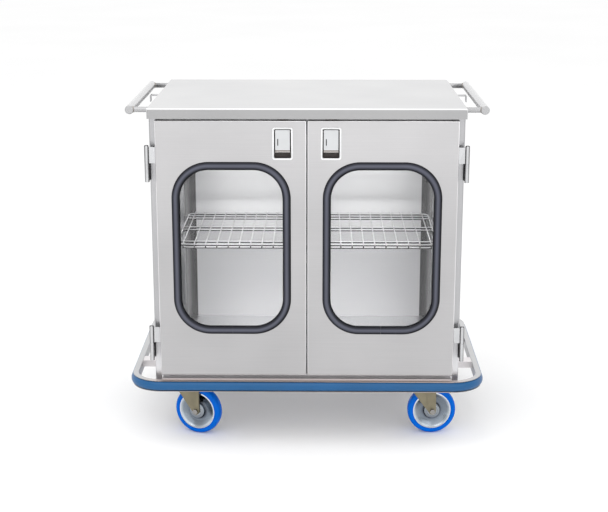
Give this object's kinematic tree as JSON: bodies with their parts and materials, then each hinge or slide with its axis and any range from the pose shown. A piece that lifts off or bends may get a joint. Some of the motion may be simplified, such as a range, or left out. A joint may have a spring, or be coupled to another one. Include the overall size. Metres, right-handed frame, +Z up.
{
  "type": "case cart",
  "caption": "Closed stainless case cart with windowed double doors, wire shelf, push handles, wraparound bumper and swivel casters, for moving surgical trays.",
  "frame": {"origin": "on the floor under the middle of the cart", "axes": "+Z up, the doors face -Y, +X to the right as the doors are faced"},
  "size_m": [1.072, 0.7, 1.0307],
  "materials": {
    "stainless": "satin brushed",
    "polished": "polished",
    "shelf_chrome": "bright plated",
    "window": "clear",
    "gasket": "satin",
    "bumper_blue": "satin",
    "caster_zinc": "zinc plated",
    "axle_steel": "bright",
    "wheel_grey": "polished",
    "tyre_blue": "smooth"
  },
  "bodies": {
    "cabinet": {"top_panel": "stainless", "header_rail": "stainless", "door_sill": "stainless", "ceiling_panel": "stainless", "back_panel": "stainless", "back_liner": "stainless", "floor_panel": "stainless", "side_liners": "stainless", "pilasters": "stainless", "shelf_rails": "stainless", "wire_shelf": "shelf_chrome", "left_side_panel": "stainless", "right_side_panel": "stainless", "left_push_handle": "stainless", "right_push_handle": "stainless", "left_door_stop": "stainless", "right_door_stop": "stainless", "base_frame": "stainless", "bumper_channel": "stainless", "bumper_strip": "bumper_blue", "bumper_brackets": "stainless", "latch_strikes": "stainless", "frame_hinges": "polished", "caster_plates": "caster_zinc", "caster_bolts": "caster_zinc"},
    "left_door": {"left_door_shell": "stainless", "left_door_liner": "stainless", "left_window_glass": "window", "left_window_gasket": "gasket", "left_latch_dish": "polished", "left_latch_pin": "polished", "left_door_hinges": "polished"},
    "left_paddle": {"left_latch_paddle": "polished"},
    "left_bolt": {"left_latch_bolt": "polished"},
    "right_door": {"right_door_shell": "stainless", "right_door_liner": "stainless", "right_window_glass": "window", "right_window_gasket": "gasket", "right_latch_dish": "polished", "right_latch_pin": "polished", "right_door_hinges": "polished"},
    "right_paddle": {"right_latch_paddle": "polished"},
    "right_bolt": {"right_latch_bolt": "polished"},
    "front_left_swivel": {"front_left_fork": "caster_zinc", "front_left_axle": "axle_steel"},
    "front_left_wheel": {"front_left_core": "wheel_grey", "front_left_tyre": "tyre_blue"},
    "front_right_swivel": {"front_right_fork": "caster_zinc", "front_right_axle": "axle_steel"},
    "front_right_wheel": {"front_right_core": "wheel_grey", "front_right_tyre": "tyre_blue"},
    "rear_left_swivel": {"rear_left_fork": "caster_zinc", "rear_left_axle": "axle_steel"},
    "rear_left_wheel": {"rear_left_core": "wheel_grey", "rear_left_tyre": "tyre_blue"},
    "rear_right_swivel": {"rear_right_fork": "caster_zinc", "rear_right_axle": "axle_steel"},
    "rear_right_wheel": {"rear_right_core": "wheel_grey", "rear_right_tyre": "tyre_blue"}
  },
  "joints": [
    {"name": "left_door_swing", "type": "hinge", "parent": "cabinet", "child": "left_door", "pos_m": [-0.461, -0.327, 0.5], "axis": [0, 0, -1], "range_deg": [0, 265]},
    {"name": "left_paddle_pull", "type": "hinge", "parent": "left_door", "child": "left_paddle", "pos_m": [-0.0697, -0.3195, 0.962], "axis": [-1, 0, 0], "range_deg": [0, 28], "stiffness_Nm_per_rad": 0.6},
    {"name": "left_bolt_slide", "type": "slide", "parent": "left_door", "child": "left_bolt", "axis": [0, 0, -1], "range_m": [0, 0.006]},
    {"name": "right_door_swing", "type": "hinge", "parent": "cabinet", "child": "right_door", "pos_m": [0.461, -0.327, 0.5], "axis": [0, 0, 1], "range_deg": [0, 265]},
    {"name": "right_paddle_pull", "type": "hinge", "parent": "right_door", "child": "right_paddle", "pos_m": [0.0697, -0.3195, 0.962], "axis": [-1, 0, 0], "range_deg": [0, 28], "stiffness_Nm_per_rad": 0.6},
    {"name": "right_bolt_slide", "type": "slide", "parent": "right_door", "child": "right_bolt", "axis": [0, 0, -1], "range_m": [0, 0.006]},
    {"name": "front_left_swivel_turn", "type": "hinge", "parent": "cabinet", "child": "front_left_swivel", "pos_m": [-0.36, -0.205, 0.165], "axis": [0, 0, 1], "continuous": true},
    {"name": "front_left_wheel_roll", "type": "hinge", "parent": "front_left_swivel", "child": "front_left_wheel", "pos_m": [-0.33557, -0.21389, 0.075], "axis": [0.342, 0.9397, 0], "continuous": true},
    {"name": "front_right_swivel_turn", "type": "hinge", "parent": "cabinet", "child": "front_right_swivel", "pos_m": [0.36, -0.205, 0.165], "axis": [0, 0, 1], "continuous": true},
    {"name": "front_right_wheel_roll", "type": "hinge", "parent": "front_right_swivel", "child": "front_right_wheel", "pos_m": [0.38594, -0.20319, 0.075], "axis": [-0.0698, 0.9976, 0], "continuous": true},
    {"name": "rear_left_swivel_turn", "type": "hinge", "parent": "cabinet", "child": "rear_left_swivel", "pos_m": [-0.36, 0.205, 0.165], "axis": [0, 0, 1], "continuous": true},
    {"name": "rear_left_wheel_roll", "type": "hinge", "parent": "rear_left_swivel", "child": "rear_left_wheel", "pos_m": [-0.35327, 0.23011, 0.075], "axis": [-0.9659, 0.2588, 0], "continuous": true},
    {"name": "rear_right_swivel_turn", "type": "hinge", "parent": "cabinet", "child": "rear_right_swivel", "pos_m": [0.36, 0.205, 0.165], "axis": [0, 0, 1], "continuous": true},
    {"name": "rear_right_wheel_roll", "type": "hinge", "parent": "rear_right_swivel", "child": "rear_right_wheel", "pos_m": [0.35327, 0.23011, 0.075], "axis": [-0.9659, -0.2588, 0], "continuous": true}
  ],
  "couplings": [
    {"joint": "left_bolt_slide", "follows": "left_paddle_pull", "m_per_rad": 0.0119},
    {"joint": "right_bolt_slide", "follows": "right_paddle_pull", "m_per_rad": 0.0119}
  ]
}
